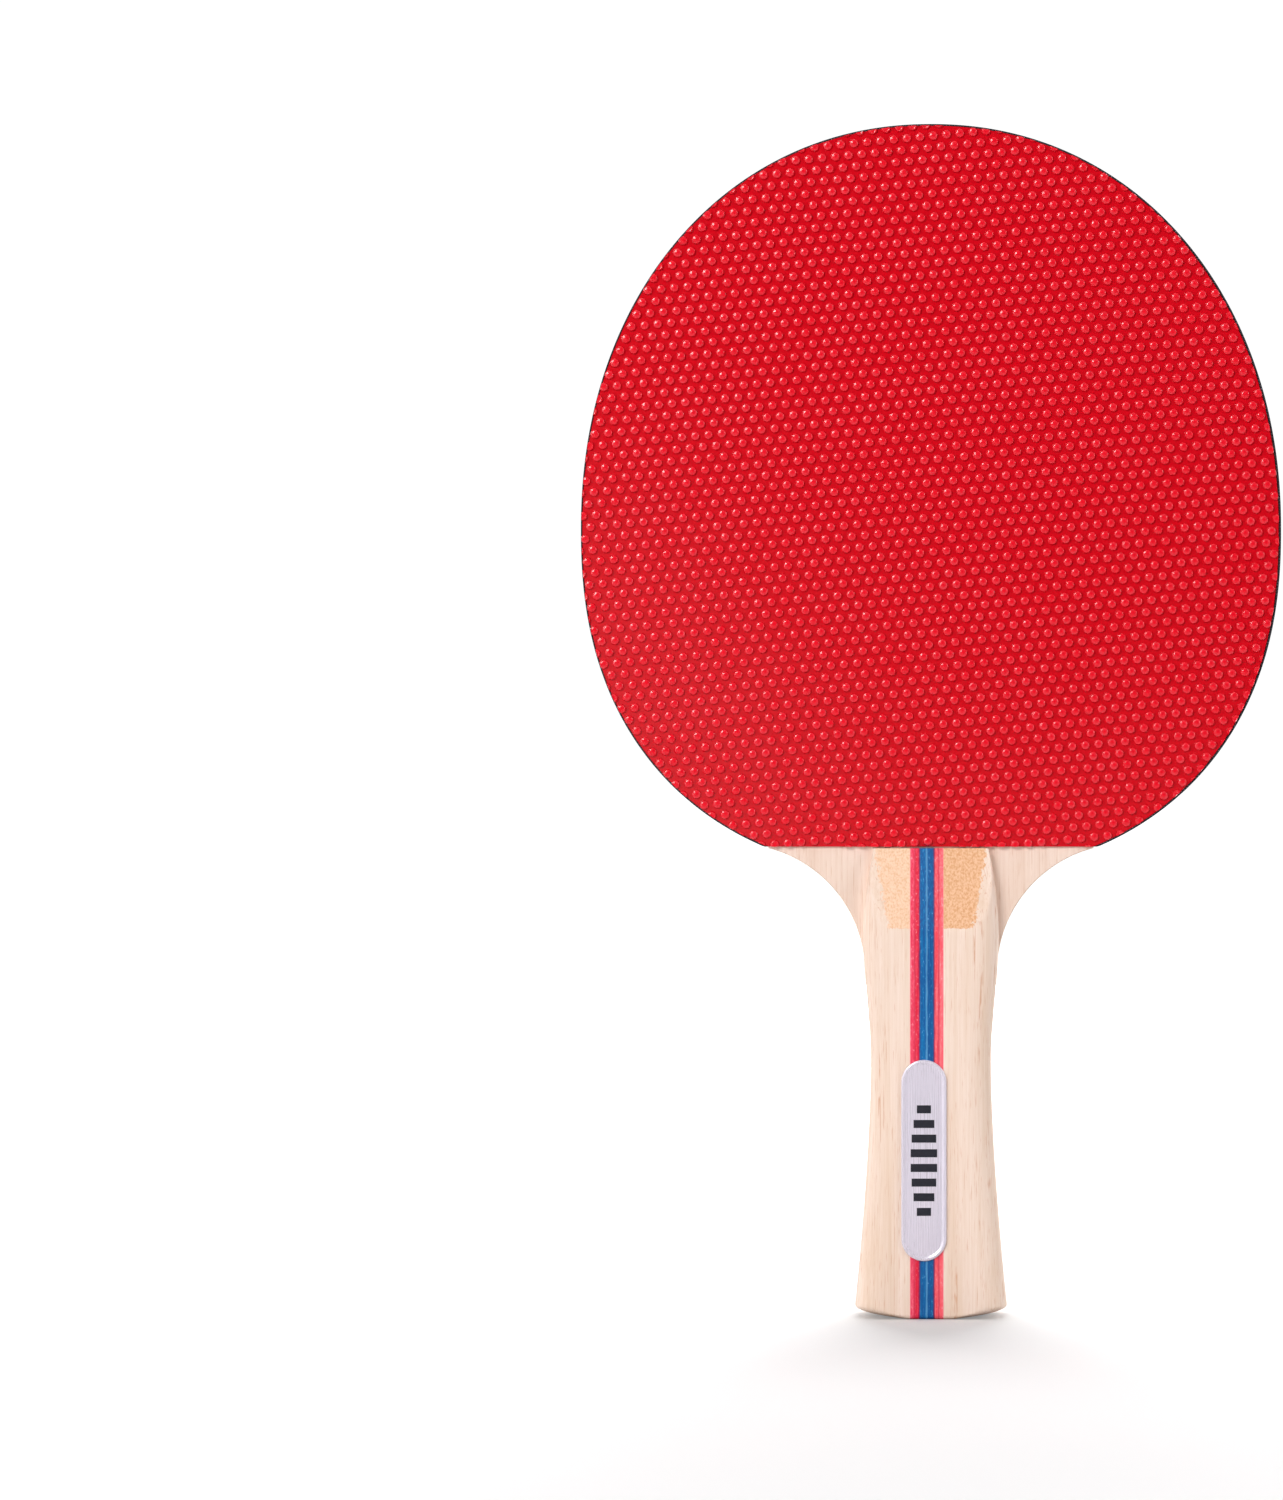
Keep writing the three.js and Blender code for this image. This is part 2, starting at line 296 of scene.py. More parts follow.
def make_piece(name, vertices, faces, material, sharp_degrees=35, attributes=None):
    mesh = bpy.data.meshes.new(name)
    mesh.from_pydata([tuple(v) for v in vertices], [], faces)
    for attribute, values in (attributes or {}).items():
        layer = mesh.attributes.new(attribute, "FLOAT", "POINT")
        layer.data.foreach_set("value", np.asarray(values, np.float32))
    shape = bmesh.new()
    shape.from_mesh(mesh)
    bmesh.ops.recalc_face_normals(shape, faces=shape.faces)
    shape.to_mesh(mesh)
    shape.free()
    mesh.polygons.foreach_set("use_smooth", [True] * len(mesh.polygons))
    mesh.set_sharp_from_angle(angle=math.radians(sharp_degrees))
    mesh.materials.append(material)
    mesh.update()
    piece = bpy.data.objects.new(name, mesh)
    bpy.context.scene.collection.objects.link(piece)
    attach(piece, "root")
    return piece


def stack_faces(levels, ring, closed_ends=True):
    """Faces that join a stack of rings, each of ring points, into one closed body."""
    faces = []
    for level in range(levels - 1):
        for corner in range(ring):
            a = level * ring + corner
            b = level * ring + (corner + 1) % ring
            faces.append((a, b, b + ring, a + ring))
    if closed_ends:
        faces.append(tuple(range(ring))[::-1])
        faces.append(tuple(range((levels - 1) * ring, levels * ring)))
    return faces


def plate(name, outline, levels, material):
    """A flat piece in X and Z. levels are (y, inset) pairs from one face to the other."""
    normals = outward(outline)
    rings = []
    for y, inset in levels:
        points = outline - normals * inset
        rings.append(np.column_stack([points[:, 0], np.full(len(points), y), points[:, 1]]))
    return make_piece(name, np.vstack(rings), stack_faces(len(levels), len(outline)), material)


# ---------------------------------------------------------------- materials

def colour(red, green, blue):
    """A display colour, 0 to 255, as linear light."""
    values = []
    for channel in (red, green, blue):
        share = channel / 255
        values.append(share / 12.92 if share <= 0.04045 else ((share + 0.055) / 1.055) ** 2.4)
    return (*values, 1)


class Shader:
    """A material and short ways to add nodes to it."""

    def __init__(self, name, roughness=0.5, metallic=0.0, specular=0.5):
        self.material = bpy.data.materials.new(name)
        self.material.use_nodes = True
        self.tree = self.material.node_tree
        self.surface = self.tree.nodes["Principled BSDF"]
        self.surface.inputs["Roughness"].default_value = roughness
        self.surface.inputs["Metallic"].default_value = metallic
        self.surface.inputs["Specular IOR Level"].default_value = specular

    def node(self, kind, inputs, output=0, **settings):
        made = self.tree.nodes.new(kind)
        for key, value in settings.items():
            setattr(made, key, value)
        for key, value in inputs.items():
            if isinstance(value, bpy.types.NodeSocket):
                self.tree.links.new(value, made.inputs[key])
            else:
                made.inputs[key].default_value = value
        return made.outputs[output]

    def place(self, per_mm, offset=(0, 0, 0)):
        """Object coordinates, scaled to so many units per millimetre along each axis."""
        where = self.node("ShaderNodeTexCoord", {}, "Object")
        scale = tuple(each / MM for each in per_mm)
        return self.node("ShaderNodeMapping", {"Vector": where, "Scale": scale, "Location": offset})

    def noise(self, where, detail=2.0, roughness=0.5):
        inputs = {"Vector": where, "Scale": 1.0, "Detail": detail, "Roughness": roughness}
        return self.node("ShaderNodeTexNoise", inputs)

    def stored(self, name):
        return self.node("ShaderNodeAttribute", {}, "Fac", attribute_name=name)

    def sum(self, first, second):
        return self.node("ShaderNodeMath", {0: first, 1: second}, operation="ADD")

    def product(self, first, second):
        return self.node("ShaderNodeMath", {0: first, 1: second}, operation="MULTIPLY")

    def sine(self, value):
        return self.node("ShaderNodeMath", {0: value}, operation="SINE")

    def range(self, value, low, high, to_low=0.0, to_high=1.0):
        return self.node("ShaderNodeMapRange", {0: value, 1: low, 2: high, 3: to_low, 4: to_high})

    def blend(self, share, first, second):
        return self.node("ShaderNodeMix", {0: share, 6: first, 7: second}, 2, data_type="RGBA")

    def paint(self, value):
        self.tree.links.new(value, self.surface.inputs["Base Color"])

    def rough(self, value):
        self.tree.links.new(value, self.surface.inputs["Roughness"])

    def bump(self, height, strength, distance):
        inputs = {"Height": height, "Strength": strength, "Distance": distance}
        normal = self.node("ShaderNodeBump", inputs)
        self.tree.links.new(normal, self.surface.inputs["Normal"])


def wood(name, light, dark, pore, seed, sanded=None, grain="Z", streaks=0.6):
    """Pale wood: broad bands, fine fibres, short pores and a few long broken streaks.
    sanded gives the two tones of the bevel, where the sanding has opened the grain."""
    shader = Shader(name, specular=0.25)
    offset = (seed * 7.3, seed * 3.1, seed * 11.7)

    def stretched(across, along):
        scales = (across, across, along) if grain == "Z" else (along, across, across)
        return shader.place(scales, offset)

    bands = shader.noise(stretched(0.3, 0.01), detail=3)
    fibres = shader.noise(stretched(2.6, 0.05), detail=4, roughness=0.65)
    pores = shader.noise(stretched(4.2, 0.2), detail=2)
    rings = shader.noise(stretched(0.5, 0.004), detail=1)
    breaks = shader.noise(stretched(0.7, 0.1), detail=3, roughness=0.7)
    shade = shader.sum(shader.product(bands, 0.5), shader.product(fibres, 0.5))
    ground = shader.blend(shader.range(shade, 0.38, 0.64), light, dark)
    pore_mask = shader.range(pores, 0.62, 0.72, 0, 0.4)
    offset_ring = shader.node("ShaderNodeMath", {0: rings, 1: 0.5}, operation="SUBTRACT")
    ring_gap = shader.node("ShaderNodeMath", {0: offset_ring}, operation="ABSOLUTE")
    line = shader.range(ring_gap, 0.004, 0.016, streaks, 0)
    streak = shader.product(line, shader.range(breaks, 0.5, 0.6))
    marks = shader.node("ShaderNodeMath", {0: pore_mask, 1: streak}, operation="MAXIMUM")
    finish = shader.blend(marks, ground, pore)
    if sanded is not None:
        ragged = shader.noise(shader.place((1.7, 1.7, 0.9), offset), detail=4, roughness=0.65)
        specks = shader.noise(shader.place((2.6, 2.6, 1.9), offset), detail=3)
        field = shader.sum(shader.stored("sanding"), shader.range(ragged, 0.3, 0.7, -1.1, 0.7))
        mask = shader.range(field, 0.0, 0.1)
        facet = shader.blend(shader.range(specks, 0.4, 0.64), sanded[0], sanded[1])
        finish = shader.blend(mask, finish, facet)
    shader.paint(finish)
    shader.rough(shader.range(fibres, 0.3, 0.7, 0.5, 0.66))
    shader.bump(shader.sum(fibres, shader.product(marks, -0.8)), 0.4, 0.06 * MM)
    return shader.material


def dyed_veneer(name, base, light, fleck, seed, x_low, x_high, seams):
    """Dyed veneer: fibres along the handle, pale flecks where the dye is thin, and a glue
    seam along each side. seams are the colours of the one at x_low and the one at x_high."""
    shader = Shader(name, specular=0.3)
    offset = (seed * 5.9, seed * 2.3, seed * 9.1)
    fibres = shader.noise(shader.place((3.6, 3.6, 0.1), offset), detail=4, roughness=0.65)
    flecks = shader.noise(shader.place((3.0, 3.0, 1.3), offset), detail=3)
    ripple = shader.noise(shader.place((1.2, 1.2, 0.35), offset), detail=3)
    shade = shader.sum(shader.product(fibres, 0.7), shader.product(flecks, 0.3))
    body = shader.blend(shader.range(shade, 0.44, 0.7), base, light)
    body = shader.blend(shader.range(flecks, 0.62, 0.72, 0, 0.45), body, fleck)
    where = shader.node("ShaderNodeSeparateXYZ", {0: shader.place((1, 1, 1))}, "X")
    wavy = shader.sum(where, shader.range(ripple, 0.3, 0.7, -0.08, 0.08))
    for edge, inward, seam in ((x_low, 1, seams[0]), (x_high, -1, seams[1])):
        reach = (edge + inward * SEAM_WIDTH) / MM
        body = shader.blend(shader.range(wavy, edge / MM, reach, 0.8, 0), body, seam)
    shader.paint(body)
    shader.rough(shader.range(flecks, 0.3, 0.7, 0.42, 0.6))
    shader.bump(fibres, 0.3, 0.05 * MM)
    return shader.material


def rubber(name, ground, top, bright):
    """Pimpled rubber: darker between the pips and paler on their tops, partly its own tone and
    partly painted shade between the pips and painted light on the tops; paler on their rims, partly
    worn and partly a painted highlight.
    """
    shader = Shader(name, specular=0.5)
    cloud = shader.noise(shader.place((0.012, 0.012, 0.012)), detail=2)
    grain = shader.noise(shader.place((2.2, 2.2, 2.2)), detail=3)
    patches = shader.noise(shader.place((0.16, 0.16, 0.16)), detail=4, roughness=0.65)
    # Painted shade and light: the colour runs from the darker ground at the pips' feet to the paler
    # top tone, partly the rubber's own tone.
    body = shader.blend(shader.range(shader.stored("height"), 0.4, 1.0), ground, top)
    # Paler rims in patches: partly wear, partly a painted highlight on the rim ring.
    rim = shader.range(shader.stored("rim"), 0.35, 1.0)
    rim_wear_and_highlight = shader.product(rim, shader.range(patches, 0.38, 0.68, 0.02, 0.26))
    body = shader.blend(rim_wear_and_highlight, body, bright)
    shader.paint(shader.blend(shader.range(cloud, 0.35, 0.65, 0, 0.008), body, bright))
    shader.rough(shader.range(grain, 0.3, 0.7, 0.12, 0.22))
    shader.bump(grain, 0.2, 0.05 * MM)
    return shader.material


def woven_tape(name):
    """Black twill: fine diagonal ribs, painted lighter on their crests as if lit, with painted
    highlights as pale specks where the threads would catch light.
    """
    shader = Shader(name, specular=0.4)
    along = shader.stored("along")
    across = shader.stored("across")
    turn = 2 * math.pi / TWILL_PITCH
    diagonal = shader.sum(along, shader.product(across, 1.3))
    ribs = shader.sine(shader.product(diagonal, turn))
    other = shader.sum(shader.product(along, 1.9), shader.product(across, -1.2))
    threads = shader.sine(shader.product(other, turn))
    weave = shader.sum(shader.product(ribs, 0.6), shader.product(threads, 0.4))
    patches = shader.noise(shader.place((0.06, 0.06, 0.06)), detail=2)
    fuzz = shader.noise(shader.place((3.5, 3.5, 3.5)), detail=2)
    # Painted highlights: pale specks on the crests of the weave.
    specks = shader.product(shader.range(weave, 0.45, 0.95), shader.range(fuzz, 0.46, 0.62))
    specks = shader.product(specks, shader.range(patches, 0.4, 0.6, 0.25, 0.95))
    # Painted light: the weave's crests are painted lighter than its hollows.
    ground = shader.blend(shader.range(weave, -1, 1), colour(9, 9, 14), colour(34, 33, 42))
    shader.paint(shader.blend(specks, ground, colour(168, 172, 186)))
    shader.rough(shader.range(fuzz, 0.3, 0.7, 0.62, 0.85))
    shader.bump(weave, 0.6, 0.05 * MM)
    return shader.material


def badge_metal(name):
    """Pale satin metal with a faint brushed line along the badge."""
    shader = Shader(name, metallic=0.2)
    brushed = shader.noise(shader.place((7, 7, 0.08)), detail=3)
    cloud = shader.noise(shader.place((0.12, 0.12, 0.05)), detail=2)
    tone = shader.sum(shader.product(brushed, 0.4), shader.product(cloud, 0.6))
    shader.paint(shader.blend(shader.range(tone, 0.3, 0.7), colour(226, 218, 231),
                              colour(218, 211, 224)))
    shader.rough(shader.range(brushed, 0.3, 0.7, 0.22, 0.34))
    shader.bump(brushed, 0.05, 0.02 * MM)
    return shader.material


def ink(name, base, worn):
    """Printed ink with slight unevenness."""
    shader = Shader(name, specular=0.4)
    cover = shader.noise(shader.place((3, 3, 3)), detail=3)
    shader.paint(shader.blend(shader.range(cover, 0.5, 0.8, 0, 0.6), base, worn))
    shader.rough(shader.range(cover, 0.3, 0.7, 0.4, 0.65))
    return shader.material


# ---------------------------------------------------------------- blade

def make_plies():
    """Five plies. The two outer ones have a softened arris."""
    arris = 0.22 * MM
    outline = ply_outline()
    face = {"light": colour(242, 220, 206), "dark": colour(230, 202, 184)}
    cross = {"light": colour(214, 196, 188), "dark": colour(194, 172, 162)}
    core = {"light": colour(232, 218, 210), "dark": colour(214, 198, 190)}
    pore = colour(206, 160, 126)
    plies = (
        ("face_ply_front", face, "Z", (arris, 0)),
        ("cross_ply_front", cross, "X", (0, 0)),
        ("core_ply", core, "Z", (0, 0)),
        ("cross_ply_rear", cross, "X", (0, 0)),
        ("face_ply_rear", face, "Z", (0, arris)),
    )
    for seed, (node, tones, grain, (front_arris, rear_arris)) in enumerate(plies, 1):
        low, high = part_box(node)
        levels = [(low.y + front_arris, 0), (high.y - rear_arris, 0)]
        if front_arris:
            levels.insert(0, (low.y, front_arris))
        if rear_arris:
            levels.append((high.y, rear_arris))
        material = wood(f"{node}_wood", tones["light"], tones["dark"], pore, seed, grain=grain)
        piece = plate(f"{node}_wood", outline, levels, material)
        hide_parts(node)


def pip_centres():
    """Hexagonal lattice, tilted a little, over the head."""
    rows = math.ceil(HEAD_TOP / PIP_PITCH)
    along, row = np.meshgrid(np.arange(-rows, rows + 1), np.arange(-rows, rows + 1))
    u = (along + 0.5 * (row % 2)) * PIP_PITCH
    v = row * PIP_PITCH * math.sqrt(3) / 2
    x = u * math.cos(PIP_ROW_TILT) - v * math.sin(PIP_ROW_TILT)
    z = u * math.sin(PIP_ROW_TILT) + v * math.cos(PIP_ROW_TILT)
    return np.column_stack([x.ravel(), WIDEST_Z + z.ravel()])


def inside_distance(centres, line, normals):
    """Depth of each centre inside the line, and the line's normal nearest to it."""
    gaps = centres[:, None, :] - line[None, :, :]
    nearest = (gaps ** 2).sum(2).argmin(1)
    normal = normals[nearest]
    depth = -(gaps[np.arange(len(centres)), nearest] * normal).sum(1)
    return depth, normal


def trim(offsets, radius, depth, normal):
    """Cuts rings of offsets back to the rubber's edge, and keeps them on their circles."""
    tangent = np.column_stack([-normal[:, 1], normal[:, 0]])
    out = (offsets * normal[:, None, :]).sum(2)
    side = (offsets * tangent[:, None, :]).sum(2)
    reach = np.sqrt(np.clip(radius ** 2 - depth ** 2, 0, None))[:, None]
    cut = out > depth[:, None]
    out = np.where(cut, depth[:, None], out)
    side = np.where(cut, np.clip(side, -reach, reach), side)
    return out[:, :, None] * normal[:, None, :] + side[:, :, None] * tangent[:, None, :]


def make_rubber(node, name, face, material):
    """A base sheet and its pips, cut to the blade's outline and straight at the handle."""
    outline = head_outline(TAPE_THICKNESS)
    outline[:, 0] -= RUBBER_LEAN * np.abs(outward(outline, closed=False)[:, 0])
    normals = outward(outline, closed=False)
    low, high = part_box(node)
    inner = high.y if face < 0 else low.y
    outer = low.y if face < 0 else high.y
    base = inner + face * RUBBER_BASE
    pip_height = abs(outer - base)

    closed = outward(outline)
    sheet = []
    for y, inset in ((inner, 0), (base - face * RUBBER_ARRIS, 0), (base, RUBBER_ARRIS / 2)):
        points = outline - closed * inset
        sheet.append(np.column_stack([points[:, 0], np.full(len(points), y), points[:, 1]]))
    vertices = list(np.vstack(sheet))
    faces = stack_faces(len(sheet), len(outline))
    heights = [0.0] * len(vertices)
    rims = [0.0] * len(vertices)

    centres = pip_centres()
    across, height = centres.T
    near = np.abs(across) < HEAD_HALF_WIDTH + PIP_PITCH
    near &= (height > SHOULDER_Z - PIP_PITCH) & (height < HEAD_TOP + PIP_PITCH)
    centres = centres[near]
    depth, normal = inside_distance(centres, outline, normals)
    above = centres[:, 1] - SHOULDER_Z
    least = PIP_LEAST_SHOWN - PIP_PROFILE[0][0]
    kept = (depth > least) & (above > least)
    centres, depth, normal, above = centres[kept], depth[kept], normal[kept], above[kept]
    down = np.tile([0.0, -1.0], (len(centres), 1))

    turn = np.linspace(0, 2 * math.pi, PIP_SIDES, endpoint=False)
    circle = np.column_stack([np.cos(turn), np.sin(turn)])
    rings = []
    for (radius, share), rim in zip(PIP_PROFILE, PIP_RIM):
        offsets = np.tile(circle * radius, (len(centres), 1, 1))
        offsets = trim(offsets, radius, depth, normal)
        offsets = trim(offsets, radius, above, down)
        rise = share * pip_height if share else -PIP_SUNK
        rings.append((offsets, base + face * rise, share, rim))
    middle = rings[-1][0].mean(axis=1, keepdims=True)
    top_y = base + face * pip_height * PIP_HOLLOW

    ring = PIP_SIDES
    pattern = stack_faces(len(rings), ring, closed_ends=False)
    pattern.append(tuple(range(ring))[::-1])
    last = (len(rings) - 1) * ring
    crown = len(rings) * ring
    pattern += [(last + k, last + (k + 1) % ring, crown) for k in range(ring)]
    for index, centre in enumerate(centres):
        start = len(vertices)
        for offsets, y, share, rim in rings:
            for x, z in offsets[index]:
                vertices.append((centre[0] + x, y, centre[1] + z))
                heights.append(share)
                rims.append(rim)
        x, z = middle[index, 0]
        vertices.append((centre[0] + x, top_y, centre[1] + z))
        heights.append(1.0)
        rims.append(0.0)
        faces += [tuple(start + k for k in corners) for corners in pattern]
    # height and rim carry the rubber's painted light on the pip tops and its pale rims, partly wear
    # and partly a painted highlight.
    piece = make_piece(name, vertices, faces, material, 50, {"height": heights, "rim": rims})
    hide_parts(node)


def make_tape():
    """The band round the head, with rounded edges, and its print of bars and squares."""
    inner = head_outline(TAPE_THICKNESS, TAPE_POINTS)
    normals = outward(inner, closed=False)
    steps = np.linalg.norm(np.diff(inner, axis=0), axis=1)
    along = np.concatenate([[0], np.cumsum(steps)])
    front, rear = TAPE_LOW.y, TAPE_HIGH.y
    soft = 0.14 * MM
    section = (
        (front, 0),
        (front, TAPE_THICKNESS - soft),
        (front + soft, TAPE_THICKNESS),
        ((front + rear) / 2, TAPE_THICKNESS),
        (rear - soft, TAPE_THICKNESS),
        (rear, TAPE_THICKNESS - soft),
        (rear, 0),
    )
    vertices = []
    along_mm = []
    across_mm = []
    for point, normal, distance in zip(inner, normals, along):
        for y, lift in section:
            x, z = point + normal * lift
            vertices.append((x, y, max(z, SHOULDER_Z)))
            along_mm.append(distance / MM)
            across_mm.append(y / MM)
    faces = stack_faces(len(inner), len(section))
    attributes = {"along": along_mm, "across": across_mm}
    tape = make_piece("twill_edge_tape", vertices, faces, woven_tape("tape_twill"), 40, attributes)
    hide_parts("edge_tape")

    middle = (front + rear) / 2
    half = TAPE_MARK_WIDTH / 2
    count = int(along[-1] // TAPE_MARK_PITCH)
    mark_length = TAPE_MARK_BARS[-1][1]
    margin = (along[-1] - count * TAPE_MARK_PITCH) / 2
    start = margin + (TAPE_MARK_PITCH - mark_length) / 2
    vertices = []
    faces = []
    for mark in range(count):
        for low, high in TAPE_MARK_BARS:
            if mark % 2:
                low, high = mark_length - high, mark_length - low
            along_bar = np.linspace(low, high, TAPE_MARK_STATIONS)
            stations = start + mark * TAPE_MARK_PITCH + along_bar
            first = len(vertices)
            for station in stations:
                x, z = (np.interp(station, along, inner[:, k]) for k in (0, 1))
                nx, nz = (np.interp(station, along, normals[:, k]) for k in (0, 1))
                for y, lift in ((-half, 0), (-half, PRINT_LIFT), (half, PRINT_LIFT), (half, 0)):
                    # Half of the print's thickness lies in the tape
                    rise = TAPE_THICKNESS + lift - PRINT_LIFT / 2
                    vertices.append((x + nx * rise, middle + y, z + nz * rise))
            bar_faces = stack_faces(len(stations), 4)
            faces += [tuple(first + k for k in corners) for corners in bar_faces]
    print_ink = ink("tape_print_ink", colour(240, 240, 244), colour(196, 198, 206))
    marks = make_piece("edge_tape_print", vertices, faces, print_ink)


# ---------------------------------------------------------------- handle

def scale_flat(z):
    return SCALE_THICKNESS - SCALE_TAPER * z / SCALE_TOP_Z


def scale_heights(bevel):
    start = SCALE_TOP_Z - bevel["length"]
    return np.concatenate([
        butt_heights(),
        np.arange(EVEN_HEIGHTS_FROM, start - BEVEL_GAP, SCALE_HEIGHT_STEP),
        np.linspace(start, SCALE_TOP_Z - SCALE_TOP_ARRIS, BEVEL_HEIGHTS),
        [SCALE_TOP_Z],
    ])


def section_height(z, turn, bevel):
    """Height of a scale over its ply at z, cut down by the bevel at its top."""
    full = scale_flat(z) - BUTT_ARRIS * (1 - opening(z, BUTT_ARRIS, 0.5))
    shape = SCALE_SIDE_WALL + (full - SCALE_SIDE_WALL) * math.sin(turn)
    share = max(0.0, (z - (SCALE_TOP_Z - bevel["length"])) / bevel["length"])
    return min(shape, full + (bevel["lip"] - full) * share)


def sanding(x, z, bevel):
    """How far a point lies inside the sanded patch of the bevel, which narrows downwards."""
    start = SCALE_TOP_Z - bevel["length"]
    share = (z - start) / bevel["length"]
    edge = SANDED_LOW_HALF + (SANDED_TOP_HALF - SANDED_LOW_HALF) * share
    return min(edge - abs(x), SANDED_FOOT_SHARPNESS * (z - start)) / MM


def scale_piece(name, node, columns, face, bevel, material):
    """One strip of a scale. columns(z) gives its (x, turn) points from one side to the other,
    where turn runs from 0 on the side wall to a right angle on the flat."""
    rings = []
    depths = []
    ply_face = BLADE_REAR if face > 0 else BLADE_FRONT
    heights = scale_heights(bevel)
    for z in heights:
        points = columns(z)
        ring = [(points[0][0], ply_face, z)]
        ring_depths = [OUTSIDE_SANDING]
        top_inset = SCALE_TOP_ARRIS if z == heights[-1] else 0
        for x, turn in points:
            height = section_height(z, turn, bevel)
            ring.append((x, ply_face + face * (height - top_inset), z))
            ring_depths.append(sanding(x, z, bevel))
        ring.append((points[-1][0], ply_face, z))
        ring_depths.append(OUTSIDE_SANDING)
        rings += ring
        depths += ring_depths
    ring_size = len(rings) // len(heights)
    faces = stack_faces(len(heights), ring_size)
    piece = make_piece(name, rings, faces, material, 28, {"sanding": depths})
    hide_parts(node)


def block_columns(inner_x, side):
    """Points across a wooden block from its side wall to the stripe."""
    edge_steps = 16
    flat_steps = 6
    reach = abs(STRIPE_LOW_X) + STRIPE_CLEARANCE

    def columns(z):
        half = float(handle_half_width(z))
        edge = min(SCALE_EDGE_WIDTH, half - reach)
        points = []
        for step in range(edge_steps + 1):
            turn = math.pi / 2 * step / edge_steps
            points.append((side * (half - edge * (1 - math.cos(turn))), turn))
        start = points[-1][0]
        for step in range(1, flat_steps + 1):
            points.append((start + (inner_x - start) * step / flat_steps, math.pi / 2))
        return points

    return columns


def strip_columns(low_x, high_x):
    def columns(z):
        return [(low_x, math.pi / 2), (high_x, math.pi / 2)]

    return columns


STRIPE_LOW_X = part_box("front_red_veneer_1")[0].x
STRIPE_HIGH_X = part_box("front_red_veneer_4")[1].x
PALE_SEAM = colour(92, 158, 204)
DARK_SEAM = colour(96, 20, 70)
PINK_SEAM = colour(252, 132, 150)
ROSE_SEAM = colour(206, 48, 74)
RED_FLECK = colour(250, 190, 200)
BLUE_FLECK = colour(120, 178, 222)
# Base tone, tone of the pale fibres, and the seams at the lower and the higher X side
VENEER_TONES = {
    "red_veneer_1": (colour(232, 46, 82), colour(252, 112, 136), PINK_SEAM, ROSE_SEAM),
    "red_veneer_2": (colour(222, 24, 60), colour(242, 76, 102), ROSE_SEAM, DARK_SEAM),
    "blue_veneer_1": (colour(0, 84, 150), colour(0, 130, 192), DARK_SEAM, PALE_SEAM),
    "blue_veneer_2": (colour(0, 76, 140), colour(0, 112, 176), PALE_SEAM, DARK_SEAM),
    "red_veneer_3": (colour(240, 68, 86), colour(254, 134, 142), DARK_SEAM, ROSE_SEAM),
    "red_veneer_4": (colour(246, 86, 100), colour(255, 148, 152), ROSE_SEAM, PINK_SEAM),
}
BLOCK_TONES = (colour(243, 221, 207), colour(230, 202, 180), colour(204, 138, 92))
SANDED_TONES = {
    "left": (colour(245, 208, 180), colour(233, 186, 148)),
    "right": (colour(238, 192, 154), colour(220, 160, 114)),
}


def make_scale(label, face):
    """The two wooden blocks and the dyed veneers between them."""
    bevel = BEVELS[label]
    rear_seed = 10 if face > 0 else 0
    sides = (("left", -1, STRIPE_LOW_X), ("right", 1, STRIPE_HIGH_X))
    for seed, (word, side, inner_x) in enumerate(sides, 1 + rear_seed):
        node = f"{label}_wood_block_{word}"
        material = wood(f"{node}_wood", *BLOCK_TONES, seed * 3, sanded=SANDED_TONES[word])
        scale_piece(f"{node}_wood", node, block_columns(inner_x, side), face, bevel, material)
    for seed, (veneer, (base, light, *seams)) in enumerate(VENEER_TONES.items(), 1 + rear_seed):
        node = f"{label}_{veneer}"
        low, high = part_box(node)
        fleck = BLUE_FLECK if "blue" in veneer else RED_FLECK
        material = dyed_veneer(f"{node}_dyed", base, light, fleck, seed, low.x, high.x, seams)
        scale_piece(f"{node}_dyed", node, strip_columns(low.x, high.x), face, bevel, material)


# ---------------------------------------------------------------- badge

def stadium(centre_x, centre_z, width, length, inset, steps=28):
    radius = width / 2 - inset
    straight = (length - width) / 2
    turn = np.linspace(0, math.pi, steps)
    cap = np.column_stack([radius * np.cos(turn), straight + radius * np.sin(turn)])
    return np.vstack([cap, -cap]) + [centre_x, centre_z]


def make_badge():
    """A thin plate with a rounded lip round it, and a plain mark of bars on it."""
    centre_x = (BADGE_LOW.x + BADGE_HIGH.x) / 2
    centre_z = (BADGE_LOW.z + BADGE_HIGH.z) / 2
    width = BADGE_HIGH.x - BADGE_LOW.x
    length = BADGE_HIGH.z - BADGE_LOW.z

    def seat(z):
        return BLADE_FRONT - scale_flat(z) - BADGE_GLUE

    vertices = []
    for inset, height in BADGE_PROFILE:
        for x, z in stadium(centre_x, centre_z, width, length, inset):
            vertices.append((x, seat(z) - height, z))
    ring = len(stadium(centre_x, centre_z, width, length, 0))
    faces = stack_faces(len(BADGE_PROFILE), ring)
    badge = make_piece("satin_badge", vertices, faces, badge_metal("badge_satin"), 30)
    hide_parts("badge")

    # Bars across the badge, longest in the middle
    surface = BADGE_PROFILE[-1][1]
    middle_bar = (len(BADGE_BARS) - 1) / 2
    vertices = []
    faces = []
    for bar, half_length in enumerate(BADGE_BARS):
        bar_z = centre_z + (bar - middle_bar) * BADGE_BAR_PITCH
        corners = [(half_length, -BADGE_BAR_HALF_WIDTH), (half_length, BADGE_BAR_HALF_WIDTH),
                   (-half_length, BADGE_BAR_HALF_WIDTH), (-half_length, -BADGE_BAR_HALF_WIDTH)]
        first = len(vertices)
        for lift in (-PRINT_SUNK, PRINT_LIFT):
            for x, z in corners:
                vertices.append((centre_x + x, seat(bar_z + z) - surface - lift, bar_z + z))
        faces += [tuple(first + k for k in corners) for corners in stack_faces(2, 4)]
    mark_ink = ink("badge_print_ink", colour(22, 22, 34), colour(44, 44, 58))
    marks = make_piece("badge_print", vertices, faces, mark_ink)


# ---------------------------------------------------------------- stage

